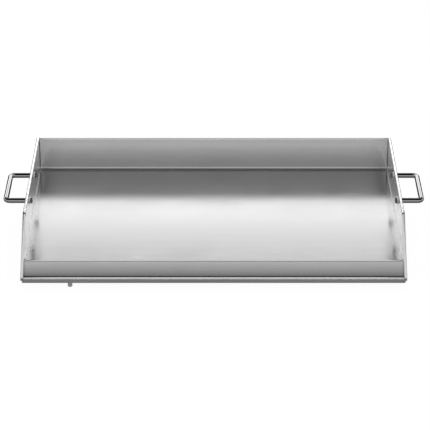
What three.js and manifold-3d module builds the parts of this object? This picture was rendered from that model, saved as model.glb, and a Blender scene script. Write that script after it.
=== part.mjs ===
// Flat top griddle: a stainless steel tray griddle with a splash wall on three sides,
// a grease trough along the front, a drain pipe and two bolted rod handles.
// Units are millimetres. +X is to the right, +Y to the back wall and +Z up.
// The origin is on the surface that the griddle stands on, under its middle.

import * as THREE from "three";
import { mergeVertices } from "three/addons/utils/BufferGeometryUtils.js";
import Module from "manifold-3d";

const wasm = await Module();
wasm.setup();

// ---- Driving dimensions -------------------------------------------------------------------

// The tray: 36 by 22 inches over its folded edges.
const BODY_LENGTH = 914;
const BODY_DEPTH = 559;
const PLATE_TOP = 56;
const WALL_RISE = 87;
const SHEET = 3;
const SEAM = 0.3;

// Folded safety edges (hems): overall thickness, and how far the folded leg reaches down.
const SIDE_HEM = 7;
const BACK_HEM = 8;
const LIP_HEM = 6.5;
const HEM_LEG = 14;
const LIP_HEM_LEG = 8.5;

// Side walls: level to the break, then cut down to the front lip.
const BREAK_Y = -156;
const BREAK_RELIEF_WIDTH = 4.6;
const BREAK_RELIEF_DEPTH = 8;
const SKIRT_BEHIND_DROP = 12;

// Back wall foot: lies on the plate and is welded along its edge.
const FOOT_BEND = 4;
const FOOT_FLAT = 1.6;

// Grease trough along the front.
const LIP_BELOW_PLATE = 23.5;
const TROUGH_BELOW_PLATE = 35.5;
const TROUGH_BEND = 3;
const DROP_EDGE_Y = -234.8;
const DROP_RUN = 17.2;
const DROP_BEND = 3.5;
const TROUGH_LAP = 18;
const CORNER_RELIEF = 2;

// Drain pipe at the front left.
const PIPE_X = -341;
const PIPE_Y = -262;
const PIPE_OUTER = 11;
const PIPE_BORE = 8;
const PIPE_END = 2;

// Handles: one bent round rod a side, with a bolt and washer through the wall into each end.
const HANDLE_ROD = 12.7;
const HANDLE_GRIP_X = 508;
const HANDLE_BACK_Y = 96;
const HANDLE_FRONT_Y = -46;
const HANDLE_Z = 121.5;
const HANDLE_BEND = 10;
const ROD_BORE_DEPTH = 20;

// M8 bolts and plain washers.
const BOLT_SHANK = 8;
const BOLT_FLATS = 13;
const BOLT_HEAD = 5.3;
const BOLT_REACH = 16;
const BOLT_CLEARANCE = 8.7;
const WASHER_OUTER = 18;
const WASHER_THICK = 1.6;

// Underneath: two support rails front to back, and stiffeners left to right between them.
const RAIL_X = 330;
const RAIL_FLANGE = 28;
const RAIL_SHEET = 2.5;
const RAIL_BEND = 3;
const RAIL_BACK_Y = 235;
const RAIL_FRONT_Y = -215;
const RAIL_SLOTS = 4;
const RAIL_SLOT_LENGTH = 56;
const RAIL_SLOT_WIDTH = 16;
const STIFFENER_YS = [170, 20, -130];
const STIFFENER_SHEET = 1.5;
const STIFFENER_HALF_WIDTH = 30;
const STIFFENER_HALF_CROWN = 13;
const STIFFENER_DEPTH = 14;
const STIFFENER_BEND = 2.5;

// Fineness of round stretches: the angle of one facet, and the facets round a rod.
const FACET = Math.PI / 24;
const ROUND_SEGMENTS = 12;
const LATHE_SEGMENTS = 32;

// ---- Values worked out from them ----------------------------------------------------------

const HALF_LENGTH = BODY_LENGTH / 2;
const WALL_INNER_X = HALF_LENGTH - SIDE_HEM;
const WALL_OUTER_X = WALL_INNER_X + SHEET;
const BACK_Y = BODY_DEPTH / 2;
const FRONT_Y = -BODY_DEPTH / 2;
const BACK_INNER_Y = BACK_Y - BACK_HEM;
const WALL_TOP = PLATE_TOP + WALL_RISE;
const PLATE_UNDER = PLATE_TOP - SHEET;
const LIP_TOP = PLATE_TOP - LIP_BELOW_PLATE;
const TROUGH_FLOOR = PLATE_TOP - TROUGH_BELOW_PLATE;
const TROUGH_UNDER = TROUGH_FLOOR - SHEET;
const SLOPE = Math.atan2(WALL_TOP - LIP_TOP, BREAK_Y - FRONT_Y);
const DROP_DIRECTION = new THREE.Vector2(-DROP_RUN, TROUGH_FLOOR - PLATE_TOP).normalize();
const BOLT_YS = [HANDLE_BACK_Y, HANDLE_FRONT_Y];

const X_AXIS = new THREE.Vector3(1, 0, 0);
const Y_AXIS = new THREE.Vector3(0, 1, 0);
const Z_AXIS = new THREE.Vector3(0, 0, 1);

// ---- Materials ----------------------------------------------------------------------------

function steel(color, roughness) {
  return new THREE.MeshStandardMaterial({ color, roughness, metalness: 1 });
}

const PLATE_STEEL = steel(0xd6d7d6, 0.38);
const WALL_STEEL = steel(0xc2c3c3, 0.34);
const UNDER_STEEL = steel(0xaeb0b1, 0.5);
const CHROME = steel(0xe6e8ea, 0.08);
const FASTENER_STEEL = steel(0xb9bbbd, 0.25);

// ---- Geometry helpers ---------------------------------------------------------------------

// A closed geometry as a solid that can be cut and joined.
function solidOf(geometry) {
  geometry.deleteAttribute("normal");
  geometry.deleteAttribute("uv");
  const merged = mergeVertices(geometry, 1e-4);
  return new wasm.Manifold(
    new wasm.Mesh({
      numProp: 3,
      vertProperties: merged.attributes.position.array,
      triVerts: new Uint32Array(merged.index.array),
    }),
  );
}

// The solid's surface as a geometry.
function geometryOf(solid) {
  const { vertProperties, triVerts } = solid.getMesh();
  const indexed = new THREE.BufferGeometry();
  indexed.setAttribute("position", new THREE.BufferAttribute(vertProperties, 3));
  indexed.setIndex(new THREE.BufferAttribute(triVerts, 1));
  const geometry = indexed.toNonIndexed();
  geometry.computeVertexNormals();
  return geometry;
}

// An outline drawn on the axes `across` and `up`, made into a solid of the given length
// that starts at `from` and runs along across × up.
function extrude(points, length, across, up, from) {
  const geometry = new THREE.ExtrudeGeometry(new THREE.Shape(points), {
    depth: length,
    bevelEnabled: false,
  });
  const along = new THREE.Vector3().crossVectors(across, up);
  geometry.applyMatrix4(new THREE.Matrix4().makeBasis(across, up, along).setPosition(from));
  return solidOf(geometry);
}

// A cylinder along X between two places.
function rodAlongX(radius, startX, endX, y, z, segments = LATHE_SEGMENTS) {
  const geometry = new THREE.CylinderGeometry(radius, radius, endX - startX, segments);
  geometry.rotateZ(Math.PI / 2);
  geometry.translate((startX + endX) / 2, y, z);
  return solidOf(geometry);
}

// A cylinder along Z between two heights.
function rodAlongZ(radius, startZ, endZ, x, y, segments = LATHE_SEGMENTS) {
  const geometry = new THREE.CylinderGeometry(radius, radius, endZ - startZ, segments);
  geometry.rotateX(Math.PI / 2);
  geometry.translate(x, y, (startZ + endZ) / 2);
  return solidOf(geometry);
}

// The points of an arc, both ends included.
function arcPoints(centre, radius, startAngle, turn) {
  const steps = Math.max(1, Math.ceil(Math.abs(turn) / FACET));
  return Array.from({ length: steps + 1 }, (_, i) => {
    const angle = startAngle + (turn * i) / steps;
    return new THREE.Vector2(Math.cos(angle), Math.sin(angle)).multiplyScalar(radius).add(centre);
  });
}

// The outline of a sheet folded along its centre line. Each corner is [x, y, bend radius of
// the centre line], and the first and last corners are the sheet's ends.
function foldedSheet(corners, thickness = SHEET) {
  const left = [];
  const right = [];
  const places = corners.map(([x, y]) => new THREE.Vector2(x, y));
  places.forEach((place, i) => {
    const before = places[Math.max(i - 1, 0)];
    const after = places[Math.min(i + 1, places.length - 1)];
    const into = (i > 0 ? place.clone().sub(before) : after.clone().sub(place)).normalize();
    const out = (place === after ? into.clone() : after.clone().sub(place)).normalize();
    const turn = Math.atan2(into.cross(out), into.dot(out));
    const toLeft = new THREE.Vector2(-into.y, into.x);
    const side = Math.sign(turn);
    if (side === 0) {
      left.push(place.clone().addScaledVector(toLeft, thickness / 2));
      right.push(place.clone().addScaledVector(toLeft, -thickness / 2));
      return;
    }
    const radius = corners[i][2];
    const centre = place
      .clone()
      .addScaledVector(into, -radius * Math.tan(Math.abs(turn) / 2))
      .addScaledVector(toLeft, side * radius);
    const start = Math.atan2(-side * toLeft.y, -side * toLeft.x);
    left.push(...arcPoints(centre, radius - (side * thickness) / 2, start, turn));
    right.push(...arcPoints(centre, radius + (side * thickness) / 2, start, turn));
  });
  return withoutRepeats([...right, ...left.reverse()]);
}

// The outline without points that fall on their neighbour.
function withoutRepeats(points) {
  return points.filter((point, i) => {
    const previous = points[(i + points.length - 1) % points.length];
    return point.distanceTo(previous) > 1e-3;
  });
}

function mesh(name, solid, material) {
  const piece = new THREE.Mesh(geometryOf(solid), material);
  piece.name = name;
  return piece;
}

// ---- Cooking plate ------------------------------------------------------------------------

// A flat plate whose front edge is bent down into the trough, with a round relief where the
// bend meets each side wall.
function cookingPlate() {
  const half = SHEET / 2;
  const inward = new THREE.Vector2(-DROP_DIRECTION.y, DROP_DIRECTION.x);
  const turn = Math.acos(-DROP_DIRECTION.x);
  const corner = new THREE.Vector2(DROP_EDGE_Y + half * Math.tan(turn / 2), PLATE_TOP - half);
  const clearOfFloor = SEAM - half * inward.y;
  const reach = (corner.y - TROUGH_FLOOR - clearOfFloor) / -DROP_DIRECTION.y;
  const foot = corner.clone().addScaledVector(DROP_DIRECTION, reach);
  const outline = foldedSheet([
    [foot.x, foot.y, 0],
    [corner.x, corner.y, DROP_BEND],
    [BACK_INNER_Y + SHEET, PLATE_TOP - half, 0],
  ]);
  const halfLength = WALL_INNER_X - SEAM;
  const from = new THREE.Vector3(-halfLength, 0, 0);
  let plate = extrude(outline, 2 * halfLength, Y_AXIS, Z_AXIS, from);
  for (const side of [-1, 1]) {
    const x = side * (halfLength - CORNER_RELIEF / 2);
    const y = DROP_EDGE_Y + 2 * DROP_BEND;
    plate = plate.subtract(rodAlongZ(CORNER_RELIEF, PLATE_UNDER - 1, PLATE_TOP + 1, x, y));
  }
  return plate;
}

// ---- Grease trough ------------------------------------------------------------------------

// A channel folded from one sheet: a rear leg lapped behind the plate's bent edge, the floor,
// the front face, and a lip folded back into the channel. The drain hole is in its floor.
function greaseTrough() {
  const half = SHEET / 2;
  const lapOffset = SHEET + SEAM + half;
  const behind = new THREE.Vector2(-DROP_DIRECTION.y, DROP_DIRECTION.x);
  const edge = new THREE.Vector2(DROP_EDGE_Y, PLATE_TOP).addScaledVector(behind, lapOffset);
  const toFloor = (edge.y - (TROUGH_FLOOR - half)) / -DROP_DIRECTION.y;
  const rear = edge.clone().addScaledVector(DROP_DIRECTION, toFloor);
  const lapTop = rear.clone().addScaledVector(DROP_DIRECTION, -TROUGH_LAP);
  const hemBend = (LIP_HEM - SHEET) / 2;
  const outline = foldedSheet([
    [lapTop.x, lapTop.y, 0],
    [rear.x, rear.y, TROUGH_BEND],
    [FRONT_Y + half, TROUGH_FLOOR - half, TROUGH_BEND],
    [FRONT_Y + half, LIP_TOP - half, hemBend],
    [FRONT_Y + LIP_HEM - half, LIP_TOP - half, hemBend],
    [FRONT_Y + LIP_HEM - half, LIP_TOP - LIP_HEM_LEG, 0],
  ]);
  const halfLength = WALL_INNER_X - SEAM;
  const from = new THREE.Vector3(-halfLength, 0, 0);
  const trough = extrude(outline.reverse(), 2 * halfLength, Y_AXIS, Z_AXIS, from);
  const holeRadius = PIPE_OUTER / 2 + SEAM;
  return trough.subtract(
    rodAlongZ(holeRadius, TROUGH_UNDER - 1, TROUGH_FLOOR + 1, PIPE_X, PIPE_Y),
  );
}

// A short open tube that stands in the drain hole, flush with the trough's floor.
function drainPipe() {
  const top = TROUGH_FLOOR - SEAM;
  const outside = rodAlongZ(PIPE_OUTER / 2, PIPE_END, top, PIPE_X, PIPE_Y);
  return outside.subtract(rodAlongZ(PIPE_BORE / 2, PIPE_END - 1, top + 1, PIPE_X, PIPE_Y));
}

// ---- Back wall ----------------------------------------------------------------------------

// A splash wall between the side walls: its foot is bent forwards onto the plate and its top
// edge is folded over to the back.
function backWall() {
  const half = SHEET / 2;
  const hemBend = (BACK_HEM - SHEET) / 2;
  const footZ = PLATE_TOP + SEAM + half;
  const outline = foldedSheet([
    [BACK_INNER_Y - FOOT_BEND - FOOT_FLAT, footZ, 0],
    [BACK_INNER_Y + half, footZ, FOOT_BEND + half],
    [BACK_INNER_Y + half, WALL_TOP - half, hemBend],
    [BACK_Y - half, WALL_TOP - half, hemBend],
    [BACK_Y - half, WALL_TOP - HEM_LEG, 0],
  ]);
  const halfLength = WALL_INNER_X - SEAM;
  const from = new THREE.Vector3(-halfLength, 0, 0);
  return extrude(outline, 2 * halfLength, Y_AXIS, Z_AXIS, from);
}

// ---- Side walls, drawn for the right-hand side --------------------------------------------

// The folded edge's section: `across` is outwards, and zero height is the top of the fold.
function sideHemOutline() {
  const half = SHEET / 2;
  const bend = (SIDE_HEM - SHEET) / 2;
  return foldedSheet([
    [half, -HEM_LEG / 2, 0],
    [half, -half, bend],
    [SIDE_HEM - half, -half, bend],
    [SIDE_HEM - half, -HEM_LEG, 0],
  ]);
}

// A flat sheet drawn in the (Y, Z) plane between two X places.
function slab(points, startX, endX) {
  return extrude(points, endX - startX, Y_AXIS, Z_AXIS, new THREE.Vector3(startX, 0, 0));
}

function sideWall() {
  const breakPoint = new THREE.Vector2(BREAK_Y, WALL_TOP);
  const downSlope = new THREE.Vector2(-Math.cos(SLOPE), -Math.sin(SLOPE));
  const mitre = new THREE.Vector2(1, 0).add(downSlope).normalize();
  const mitreSide = new THREE.Vector2(-mitre.y, mitre.x);
  const hemRadius = SIDE_HEM / 2;
  const hemLine = breakPoint.clone().addScaledVector(mitre, hemRadius / Math.cos(SLOPE / 2));
  const frontTop = hemLine.y - (hemLine.x - FRONT_Y) * Math.tan(SLOPE);
  const dropSlant = DROP_DIRECTION.x / DROP_DIRECTION.y;
  const skirtY = DROP_EDGE_Y + SKIRT_BEHIND_DROP;
  const skirtFootY = skirtY + (TROUGH_UNDER - PLATE_UNDER) * dropSlant;
  const corner = TROUGH_BEND + SHEET / 2;
  const cornerCentre = new THREE.Vector2(FRONT_Y + corner, TROUGH_UNDER + corner);
  const sheetOutline = [
    new THREE.Vector2(BACK_Y, PLATE_UNDER),
    new THREE.Vector2(BACK_Y, hemLine.y),
    hemLine,
    new THREE.Vector2(FRONT_Y, frontTop),
    ...arcPoints(cornerCentre, corner, Math.PI, Math.PI / 2),
    new THREE.Vector2(skirtFootY, TROUGH_UNDER),
    new THREE.Vector2(skirtY, PLATE_UNDER),
  ];
  let wall = slab(sheetOutline, WALL_INNER_X, WALL_OUTER_X);

  // The two folded edges, each cut back from the mitre at the break.
  const levelFrom = new THREE.Vector3(WALL_INNER_X, BACK_Y, WALL_TOP);
  const levelHem = extrude(sideHemOutline(), BACK_Y - BREAK_Y, X_AXIS, Z_AXIS, levelFrom);
  const slopeUp = new THREE.Vector3(0, -Math.sin(SLOPE), Math.cos(SLOPE));
  const slopeFrom = new THREE.Vector3(WALL_INNER_X, BREAK_Y, WALL_TOP);
  const slopeLength = (BREAK_Y - FRONT_Y) / Math.cos(SLOPE) + SIDE_HEM;
  const slopedHem = extrude(sideHemOutline(), slopeLength, X_AXIS, slopeUp, slopeFrom);
  const cut = (sideSign) => {
    const near = sideSign * (BREAK_RELIEF_WIDTH / 2);
    const far = sideSign * HEM_LEG * 3;
    const at = (along, beside) =>
      breakPoint.clone().addScaledVector(mitre, along).addScaledVector(mitreSide, beside);
    const reach = HEM_LEG * 2;
    const points = [at(-reach, near), at(-reach, far), at(reach, far), at(reach, near)];
    if (THREE.ShapeUtils.isClockWise(points)) points.reverse();
    return slab(points, WALL_INNER_X - 1, HALF_LENGTH + 1);
  };
  const frontWaste = slab(
    [
      new THREE.Vector2(FRONT_Y - 60, 0),
      new THREE.Vector2(FRONT_Y, 0),
      new THREE.Vector2(FRONT_Y, WALL_TOP),
      new THREE.Vector2(FRONT_Y - 60, WALL_TOP),
    ],
    WALL_INNER_X - 1,
    HALF_LENGTH + 1,
  );
  // The sloped edge's outer leg ends square to the slope, just short of the front.
  const legEnd = new THREE.Vector2(FRONT_Y, LIP_TOP - hemRadius);
  const square = new THREE.Vector2(Math.sin(SLOPE), -Math.cos(SLOPE));
  const legWaste = slab(
    [
      legEnd,
      legEnd.clone().addScaledVector(downSlope, 40),
      legEnd.clone().addScaledVector(downSlope, 40).addScaledVector(square, 40),
      legEnd.clone().addScaledVector(square, 40),
    ],
    WALL_OUTER_X + 0.2,
    HALF_LENGTH + 1,
  );
  wall = wall
    .add(levelHem.subtract(cut(-1)))
    .add(slopedHem.subtract(cut(1)).subtract(frontWaste).subtract(legWaste));

  // A round-ended relief at the break, and the bolt holes for the handle.
  const reliefEnd = breakPoint.clone().addScaledVector(mitre, BREAK_RELIEF_DEPTH);
  const reliefHalf = BREAK_RELIEF_WIDTH / 2;
  const reliefStart = Math.atan2(mitreSide.y, mitreSide.x);
  const relief = [
    breakPoint.clone().addScaledVector(mitre, -5).addScaledVector(mitreSide, -reliefHalf),
    breakPoint.clone().addScaledVector(mitre, -5).addScaledVector(mitreSide, reliefHalf),
    ...arcPoints(reliefEnd, reliefHalf, reliefStart, -Math.PI),
  ];
  if (THREE.ShapeUtils.isClockWise(relief)) relief.reverse();
  wall = wall.subtract(slab(withoutRepeats(relief), WALL_INNER_X - 1, HALF_LENGTH + 1));
  for (const y of BOLT_YS) {
    const hole = rodAlongX(BOLT_CLEARANCE / 2, WALL_INNER_X - 1, WALL_OUTER_X + 1, y, HANDLE_Z);
    wall = wall.subtract(hole);
  }
  return wall;
}

// ---- Handles and their fasteners, drawn for the right-hand side ---------------------------

// The rod's centre line: one step along each straight and several round each bend, so its
// steps aren't equally long.
class RodPath extends THREE.Curve {
  constructor(stations) {
    super();
    this.stations = stations;
  }

  getPoint(t) {
    const step = Math.min(Math.floor(t * this.steps), this.steps - 1);
    const [from, to] = this.stations.slice(step, step + 2);
    return from.clone().lerp(to, t * this.steps - step);
  }

  getPointAt(t) {
    return this.getPoint(t);
  }

  getTangentAt(t) {
    return this.getTangent(t);
  }

  get steps() {
    return this.stations.length - 1;
  }
}

// A rod bent into a U that lies level, with a threaded hole in each end.
function handle() {
  const rootX = WALL_OUTER_X + SEAM;
  const bendX = HANDLE_GRIP_X - HANDLE_BEND;
  const frontBend = new THREE.Vector2(bendX, HANDLE_FRONT_Y + HANDLE_BEND);
  const backBend = new THREE.Vector2(bendX, HANDLE_BACK_Y - HANDLE_BEND);
  const centreLine = [
    new THREE.Vector2(rootX, HANDLE_FRONT_Y),
    ...arcPoints(frontBend, HANDLE_BEND, -Math.PI / 2, Math.PI / 2),
    ...arcPoints(backBend, HANDLE_BEND, 0, Math.PI / 2),
    new THREE.Vector2(rootX, HANDLE_BACK_Y),
  ];
  const path = new RodPath(centreLine.map(({ x, y }) => new THREE.Vector3(x, y, HANDLE_Z)));
  const section = new THREE.Shape().absarc(0, 0, HANDLE_ROD / 2, 0, 2 * Math.PI);
  const sweep = { steps: path.steps, extrudePath: path, curveSegments: ROUND_SEGMENTS };
  let rod = solidOf(new THREE.ExtrudeGeometry(section, sweep));
  for (const y of BOLT_YS) {
    const bore = rodAlongX(BOLT_CLEARANCE / 2, rootX - 1, rootX + ROD_BORE_DEPTH, y, HANDLE_Z);
    rod = rod.subtract(bore);
  }
  return rod;
}

// A plain washer against the wall's inner face.
function washer(y) {
  const outerX = WALL_INNER_X - SEAM;
  const disc = rodAlongX(WASHER_OUTER / 2, outerX - WASHER_THICK, outerX, y, HANDLE_Z);
  const hole = rodAlongX(
    BOLT_CLEARANCE / 2,
    outerX - WASHER_THICK - 1,
    outerX + 1,
    y,
    HANDLE_Z,
  );
  return disc.subtract(hole);
}

// A hexagon bolt: chamfered head inside the tray, shank out through the wall into the rod.
function bolt(y) {
  const headOuterX = WALL_INNER_X - 2 * SEAM - WASHER_THICK;
  const headInnerX = headOuterX - BOLT_HEAD;
  const cornerRadius = BOLT_FLATS / Math.sqrt(3);
  const prism = rodAlongX(cornerRadius, headInnerX, headOuterX, y, HANDLE_Z, 6);
  const chamfer = cornerRadius - BOLT_FLATS / 2;
  const profile = [
    new THREE.Vector2(0, 0),
    new THREE.Vector2(cornerRadius + 1, 0),
    new THREE.Vector2(cornerRadius + 1, BOLT_HEAD - chamfer),
    new THREE.Vector2(BOLT_FLATS / 2, BOLT_HEAD),
    new THREE.Vector2(0, BOLT_HEAD),
  ];
  const dome = new THREE.LatheGeometry(profile, LATHE_SEGMENTS);
  dome.rotateZ(Math.PI / 2);
  dome.translate(headOuterX, y, HANDLE_Z);
  const endX = WALL_OUTER_X + SEAM + BOLT_REACH;
  const shank = rodAlongX(BOLT_SHANK / 2, headOuterX - 1, endX, y, HANDLE_Z);
  return prism.intersect(solidOf(dome)).add(shank);
}

// ---- Supports underneath ------------------------------------------------------------------

// A channel rail that the griddle stands on, open towards the middle, with slots in its web.
function supportRail() {
  const half = RAIL_SHEET / 2;
  const top = PLATE_UNDER - SEAM - half;
  const outline = foldedSheet(
    [
      [RAIL_X - RAIL_FLANGE, half, 0],
      [RAIL_X - half, half, RAIL_BEND],
      [RAIL_X - half, top, RAIL_BEND],
      [RAIL_X - RAIL_FLANGE, top, 0],
    ],
    RAIL_SHEET,
  );
  const length = RAIL_BACK_Y - RAIL_FRONT_Y;
  let rail = extrude(outline, length, X_AXIS, Z_AXIS, new THREE.Vector3(0, RAIL_BACK_Y, 0));
  const pitch = length / RAIL_SLOTS;
  const slotRadius = RAIL_SLOT_WIDTH / 2;
  const straight = RAIL_SLOT_LENGTH / 2 - slotRadius;
  for (let i = 0; i < RAIL_SLOTS; i += 1) {
    const y = RAIL_FRONT_Y + pitch * (i + 0.5);
    const z = PLATE_UNDER / 2;
    const slot = withoutRepeats([
      ...arcPoints(new THREE.Vector2(y + straight, z), slotRadius, -Math.PI / 2, Math.PI),
      ...arcPoints(new THREE.Vector2(y - straight, z), slotRadius, Math.PI / 2, Math.PI),
    ]);
    rail = rail.subtract(slab(slot, RAIL_X - RAIL_SHEET - 1, RAIL_X + 1));
  }
  return rail;
}

// A hat-section stiffener under the plate, between the rails.
function stiffener(y) {
  const top = PLATE_UNDER - SEAM - STIFFENER_SHEET / 2;
  const bottom = top - STIFFENER_DEPTH;
  const outline = foldedSheet(
    [
      [y + STIFFENER_HALF_WIDTH, top, 0],
      [y + STIFFENER_HALF_CROWN, top, STIFFENER_BEND],
      [y + STIFFENER_HALF_CROWN, bottom, STIFFENER_BEND],
      [y - STIFFENER_HALF_CROWN, bottom, STIFFENER_BEND],
      [y - STIFFENER_HALF_CROWN, top, STIFFENER_BEND],
      [y - STIFFENER_HALF_WIDTH, top, 0],
    ],
    STIFFENER_SHEET,
  );
  const halfLength = RAIL_X - RAIL_FLANGE - SEAM;
  return extrude(outline, 2 * halfLength, Y_AXIS, Z_AXIS, new THREE.Vector3(-halfLength, 0, 0));
}

// ---- Assembly -----------------------------------------------------------------------------

const griddle = new THREE.Group();
griddle.add(
  mesh("cooking_plate", cookingPlate(), PLATE_STEEL),
  mesh("grease_trough", greaseTrough(), WALL_STEEL),
  mesh("drain_pipe", drainPipe(), FASTENER_STEEL),
  mesh("back_wall", backWall(), WALL_STEEL),
);

["rear", "middle", "front"].forEach((place, i) => {
  griddle.add(mesh(`stiffener_${place}`, stiffener(STIFFENER_YS[i]), UNDER_STEEL));
});

for (const [sideName, mirror] of [
  ["left", -1],
  ["right", 1],
]) {
  const side = new THREE.Group();
  side.scale.x = mirror;
  side.add(
    mesh(`${sideName}_side_wall`, sideWall(), WALL_STEEL),
    mesh(`${sideName}_handle`, handle(), CHROME),
    mesh(`${sideName}_support_rail`, supportRail(), UNDER_STEEL),
  );
  ["rear", "front"].forEach((place, i) => {
    side.add(
      mesh(`${sideName}_${place}_bolt`, bolt(BOLT_YS[i]), FASTENER_STEEL),
      mesh(`${sideName}_${place}_washer`, washer(BOLT_YS[i]), FASTENER_STEEL),
    );
  });
  griddle.add(side);
}

export default griddle;
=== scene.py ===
"""The looks of the flat top griddle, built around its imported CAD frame.

Every length is in metres. X runs from the left handle to the right one, Y from the front
lip to the back wall, and Z up from the surface that the griddle stands on.
"""

import math

import bmesh
import bpy
from mathutils import Matrix, Vector


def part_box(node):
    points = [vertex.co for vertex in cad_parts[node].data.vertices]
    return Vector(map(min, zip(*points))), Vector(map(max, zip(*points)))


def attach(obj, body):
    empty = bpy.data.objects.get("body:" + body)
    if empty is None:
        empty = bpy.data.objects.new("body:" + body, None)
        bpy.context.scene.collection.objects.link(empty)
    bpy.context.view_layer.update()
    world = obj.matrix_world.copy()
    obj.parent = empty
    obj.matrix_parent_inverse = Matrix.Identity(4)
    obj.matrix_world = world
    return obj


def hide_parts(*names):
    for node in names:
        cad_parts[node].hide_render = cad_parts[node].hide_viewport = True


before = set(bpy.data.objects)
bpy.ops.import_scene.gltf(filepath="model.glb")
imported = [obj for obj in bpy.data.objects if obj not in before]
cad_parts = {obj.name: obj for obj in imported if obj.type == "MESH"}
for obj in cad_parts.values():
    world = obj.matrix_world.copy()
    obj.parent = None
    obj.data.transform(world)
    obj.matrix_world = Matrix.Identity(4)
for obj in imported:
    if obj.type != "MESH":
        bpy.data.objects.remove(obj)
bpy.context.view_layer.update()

MM = 0.001
SIDES = (("left", -1.0), ("right", 1.0))

# ---- Places read from the frame ----------------------------------------------------------

_, PLATE_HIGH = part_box("cooking_plate")
BACK_LOW, BACK_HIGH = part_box("back_wall")
TROUGH_LOW, TROUGH_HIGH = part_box("grease_trough")
PIPE_LOW, PIPE_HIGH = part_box("drain_pipe")
SIDE_LOW, SIDE_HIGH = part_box("right_side_wall")
RAIL_LOW, RAIL_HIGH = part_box("right_support_rail")
PLATE_TOP = PLATE_HIGH.z

# ---- Sizes of the folded sheet -----------------------------------------------------------

SHEET = 3 * MM
PLATE_UNDER = PLATE_TOP - SHEET
SEAM = 0.3 * MM
FOOT_BEND = 3 * MM
BACK_HEM_LEG = 14 * MM
BACK_HEM = 8 * MM
LIP_HEM = 6.5 * MM
LIP_HEM_LEG = 8.5 * MM
TROUGH_BEND = 3 * MM
TROUGH_LAP = 18 * MM
TROUGH_FLOOR = TROUGH_LOW.z + SHEET
LIP_TOP = PLATE_TOP - 23.5 * MM
DROP_EDGE_Y = -234.8 * MM
DROP_RUN = 17.2 * MM
BREAK_Y = -156 * MM
PIPE_HOLE_GAP = 0.3 * MM
BROKEN_EDGE = 0.35 * MM
THIN_BROKEN_EDGE = 0.25 * MM

# ---- Camera ------------------------------------------------------------------------------

CAMERA_ELEVATION = math.radians(26.65)
CAMERA_DISTANCE = 5.0355
CAMERA_LENS = 170.0
CAMERA_AIM_Y = 5.7 * MM
CAMERA_SHIFT_X = 0.0029


def make_camera():
    """A long lens in front of the griddle, a little above it."""
    data = bpy.data.cameras.new("camera")
    data.lens = CAMERA_LENS
    data.sensor_width = 36.0
    data.shift_x = CAMERA_SHIFT_X
    data.clip_start = 0.1
    data.clip_end = 100.0
    camera = bpy.data.objects.new("camera", data)
    bpy.context.scene.collection.objects.link(camera)
    aim = Vector((0.0, CAMERA_AIM_Y, PLATE_TOP))
    back = Vector((0.0, -math.cos(CAMERA_ELEVATION), math.sin(CAMERA_ELEVATION)))
    camera.location = aim + back * CAMERA_DISTANCE
    camera.rotation_euler = (math.pi / 2 - CAMERA_ELEVATION, 0.0, 0.0)
    bpy.context.scene.camera = camera


# ---- Node trees --------------------------------------------------------------------------


class Nodes:
    """Short calls that add and link the nodes of one node tree."""

    def __init__(self, tree):
        self.tree = tree
        tree.nodes.clear()

    def add(self, kind, inputs=None, **settings):
        node = self.tree.nodes.new(kind)
        for name, value in settings.items():
            setattr(node, name, value)
        for socket, value in (inputs or {}).items():
            if isinstance(value, bpy.types.NodeSocket):
                self.tree.links.new(value, node.inputs[socket])
            else:
                node.inputs[socket].default_value = value
        return node

    def math(self, operation, *values):
        inputs = dict(enumerate(values))
        return self.add("ShaderNodeMath", inputs, operation=operation).outputs[0]

    def scale(self, value, low, high, to_low, to_high, smooth=False):
        """The value carried from one range to another, and held at its ends."""
        kind = "SMOOTHSTEP" if smooth else "LINEAR"
        inputs = {0: value, 1: low, 2: high, 3: to_low, 4: to_high}
        return self.add("ShaderNodeMapRange", inputs, interpolation_type=kind).outputs[0]

    def noise(self, place, stretch, detail=3.0, roughness=0.5):
        mapped = self.add("ShaderNodeMapping", {0: place, 3: stretch}).outputs[0]
        inputs = {"Vector": mapped, "Scale": 1.0, "Detail": detail, "Roughness": roughness}
        return self.add("ShaderNodeTexNoise", inputs).outputs[0]

    def mix(self, share, first, second, blend="MIX"):
        """A mix of two colours, each a socket or a plain colour."""
        inputs = {0: share, 6: first, 7: second}
        node = self.add("ShaderNodeMix", inputs, data_type="RGBA", blend_type=blend)
        return node.outputs[2]

    def ramp(self, value, stops):
        """A grey ramp whose stops are (position, brightness)."""
        node = self.add("ShaderNodeValToRGB", {0: value})
        elements = node.color_ramp.elements
        while len(elements) < len(stops):
            elements.new(0.5)
        for element, (position, tone) in zip(elements, stops):
            element.position = position
            element.color = (tone, tone, tone, 1.0)
        return node.outputs[0]


def new_material(name):
    material = bpy.data.materials.new(name)
    material.use_nodes = True
    return material, Nodes(material.node_tree)


# ---- Studio ------------------------------------------------------------------------------

# Brightness round the studio from the floor behind, under and in front of the griddle, up
# over the top and down to the horizon behind, by degrees above the front horizon.
STUDIO_ROUND = (
    (-180.0, 0.00),
    (-146.0, 0.02),
    (-130.0, 0.26),
    (-70.0, 0.26),
    (-45.0, 0.175),
    (-3.0, 0.20),
    (3.0, 1.50),
    (10.0, 1.45),
    (15.0, 1.22),
    (21.0, 0.55),
    (27.0, 0.46),
    (46.0, 0.26),
    (57.0, 0.90),
    (66.0, 0.95),
    (74.0, 0.58),
    (122.0, 0.62),
    (136.0, 1.60),
    (152.0, 1.10),
    (160.0, 0.95),
    (165.0, 0.02),
)
STUDIO_SIDES = ((-90.0, 0.20), (-4.0, 0.30), (6.0, 0.80), (50.0, 0.90), (72.0, 0.10))
SIDES_BEGIN = 0.6
SIDES_FULL = 0.95
BACKDROP = 1.0


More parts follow.
